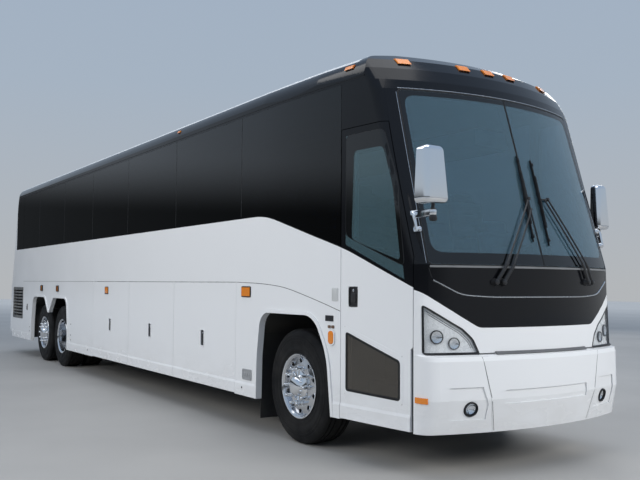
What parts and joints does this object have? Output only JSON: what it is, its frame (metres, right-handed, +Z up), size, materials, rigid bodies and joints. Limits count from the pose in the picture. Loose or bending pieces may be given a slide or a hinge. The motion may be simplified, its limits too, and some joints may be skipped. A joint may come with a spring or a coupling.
{
  "type": "coach bus",
  "caption": "Highway coach with hinged entry door, luggage bay doors, engine door and roof hatches, steered front wheels, twin drive wheels and a tag axle.",
  "frame": {"origin": "on the ground under the middle of the box that holds the body and its mirrors", "axes": "+X forward, +Y to the driver's side, +Z up"},
  "size_m": [13.925, 2.81, 3.6189],
  "materials": {
    "white_paint": "gloss",
    "chassis_steel": "satin",
    "dark_glass": "gloss",
    "tinted_glass": "gloss",
    "black_plastic": "satin",
    "black_metal": "satin",
    "rubber": "matt",
    "seat_cloth": "matt",
    "chrome": "polished",
    "lamp_clear": "gloss",
    "lamp_red": "gloss",
    "lamp_amber": "gloss",
    "tyre": "matt",
    "polished_aluminium": "polished"
  },
  "bodies": {
    "root": {"underframe": "chassis_steel", "passenger_floor": "black_plastic", "entry_steps": "black_plastic", "right_side_wall": "white_paint", "left_side_wall": "white_paint", "roof_panel": "white_paint", "front_cap": "white_paint", "front_bumper": "white_paint", "rear_cap": "white_paint", "rear_bumper": "white_paint", "radiator_grilles": "black_plastic", "windshield": "tinted_glass", "right_side_windows": "dark_glass", "left_side_windows": "dark_glass", "headlamps": "lamp_clear", "tail_lamps": "lamp_red", "marker_lamps": "lamp_amber", "mirrors": "chrome", "wipers": "black_metal", "dashboard": "black_plastic", "driver_seat": "seat_cloth", "passenger_seats": "seat_cloth", "luggage_racks": "black_plastic", "engine_block": "chassis_steel", "wheel_arch_liners": "black_plastic", "air_springs": "rubber", "front_axle": "chassis_steel", "drive_axle": "chassis_steel", "tag_axle": "chassis_steel"},
    "entry_door": {"entry_door": "white_paint", "entry_door_glass": "tinted_glass"},
    "engine_door": {"engine_door": "white_paint"},
    "front_roof_hatch": {"front_roof_hatch": "white_paint"},
    "rear_roof_hatch": {"rear_roof_hatch": "white_paint"},
    "left_knuckle": {"left_knuckle": "chassis_steel"},
    "right_knuckle": {"right_knuckle": "chassis_steel"},
    "tie_rod": {"tie_rod": "chassis_steel"},
    "front_right_wheel": {"front_right_rim": "polished_aluminium", "front_right_tyre": "tyre"},
    "front_left_wheel": {"front_left_rim": "polished_aluminium", "front_left_tyre": "tyre"},
    "drive_right_wheel": {"drive_right_rim": "polished_aluminium", "drive_right_tyre": "tyre"},
    "drive_left_wheel": {"drive_left_rim": "polished_aluminium", "drive_left_tyre": "tyre"},
    "tag_right_wheel": {"tag_right_rim": "polished_aluminium", "tag_right_tyre": "tyre"},
    "tag_left_wheel": {"tag_left_rim": "polished_aluminium", "tag_left_tyre": "tyre"},
    "right_rear_bay_door": {"right_rear_bay_door": "white_paint"},
    "right_middle_bay_door": {"right_middle_bay_door": "white_paint"},
    "right_front_bay_door": {"right_front_bay_door": "white_paint"},
    "left_rear_bay_door": {"left_rear_bay_door": "white_paint"},
    "left_middle_bay_door": {"left_middle_bay_door": "white_paint"},
    "left_front_bay_door": {"left_front_bay_door": "white_paint"}
  },
  "joints": [
    {"name": "left_steer", "type": "hinge", "parent": "root", "child": "left_knuckle", "pos_m": [4.9075, 0.84, 0.535], "axis": [0, 0, 1], "range_deg": [-45, 45]},
    {"name": "right_steer", "type": "hinge", "parent": "root", "child": "right_knuckle", "pos_m": [4.9075, -0.84, 0.535], "axis": [0, 0, 1], "range_deg": [-45, 45]},
    {"name": "tie_rod_pivot", "type": "hinge", "parent": "left_knuckle", "child": "tie_rod", "pos_m": [4.7075, 0.84, 0.4], "axis": [0, 0, 1], "range_deg": [-45, 45]},
    {"name": "front_right_roll", "type": "hinge", "parent": "right_knuckle", "child": "front_right_wheel", "pos_m": [4.9075, -1.058, 0.535], "axis": [0, 1, 0], "continuous": true},
    {"name": "front_left_roll", "type": "hinge", "parent": "left_knuckle", "child": "front_left_wheel", "pos_m": [4.9075, 1.058, 0.535], "axis": [0, 1, 0], "continuous": true},
    {"name": "drive_right_roll", "type": "hinge", "parent": "root", "child": "drive_right_wheel", "pos_m": [-3.1025, -1.058, 0.535], "axis": [0, 1, 0], "continuous": true},
    {"name": "drive_left_roll", "type": "hinge", "parent": "root", "child": "drive_left_wheel", "pos_m": [-3.1025, 1.058, 0.535], "axis": [0, 1, 0], "continuous": true},
    {"name": "tag_right_roll", "type": "hinge", "parent": "root", "child": "tag_right_wheel", "pos_m": [-4.3225, -1.058, 0.535], "axis": [0, 1, 0], "continuous": true},
    {"name": "tag_left_roll", "type": "hinge", "parent": "root", "child": "tag_left_wheel", "pos_m": [-4.3225, 1.058, 0.535], "axis": [0, 1, 0], "continuous": true},
    {"name": "entry_door_hinge", "type": "hinge", "parent": "root", "child": "entry_door", "pos_m": [6.5145, -1.161, 1.5], "axis": [0, 0, 1], "range_deg": [0, 85]},
    {"name": "right_rear_bay_door_hinge", "type": "hinge", "parent": "root", "child": "right_rear_bay_door", "pos_m": [-0.2725, -1.297, 1.503], "axis": [-1, 0, 0], "range_deg": [0, 85]},
    {"name": "right_middle_bay_door_hinge", "type": "hinge", "parent": "root", "child": "right_middle_bay_door", "pos_m": [1.325, -1.297, 1.503], "axis": [-1, 0, 0], "range_deg": [0, 85]},
    {"name": "right_front_bay_door_hinge", "type": "hinge", "parent": "root", "child": "right_front_bay_door", "pos_m": [2.955, -1.297, 1.503], "axis": [-1, 0, 0], "range_deg": [0, 85]},
    {"name": "left_rear_bay_door_hinge", "type": "hinge", "parent": "root", "child": "left_rear_bay_door", "pos_m": [-0.2725, 1.297, 1.503], "axis": [1, 0, 0], "range_deg": [0, 85]},
    {"name": "left_middle_bay_door_hinge", "type": "hinge", "parent": "root", "child": "left_middle_bay_door", "pos_m": [1.325, 1.297, 1.503], "axis": [1, 0, 0], "range_deg": [0, 85]},
    {"name": "left_front_bay_door_hinge", "type": "hinge", "parent": "root", "child": "left_front_bay_door", "pos_m": [2.955, 1.297, 1.503], "axis": [1, 0, 0], "range_deg": [0, 85]},
    {"name": "engine_door_hinge", "type": "hinge", "parent": "root", "child": "engine_door", "pos_m": [-6.8245, 0, 1.703], "axis": [0, 1, 0], "range_deg": [0, 80]},
    {"name": "front_roof_hatch_hinge", "type": "hinge", "parent": "root", "child": "front_roof_hatch", "pos_m": [3.6425, 0, 3.57437], "axis": [0, 1, 0], "range_deg": [0, 75]},
    {"name": "rear_roof_hatch_hinge", "type": "hinge", "parent": "root", "child": "rear_roof_hatch", "pos_m": [-2.8575, 0, 3.57437], "axis": [0, 1, 0], "range_deg": [0, 75]}
  ],
  "couplings": [
    {"joint": "right_steer", "follows": "left_steer", "ratio": 1},
    {"joint": "tie_rod_pivot", "follows": "left_steer", "ratio": -1}
  ]
}
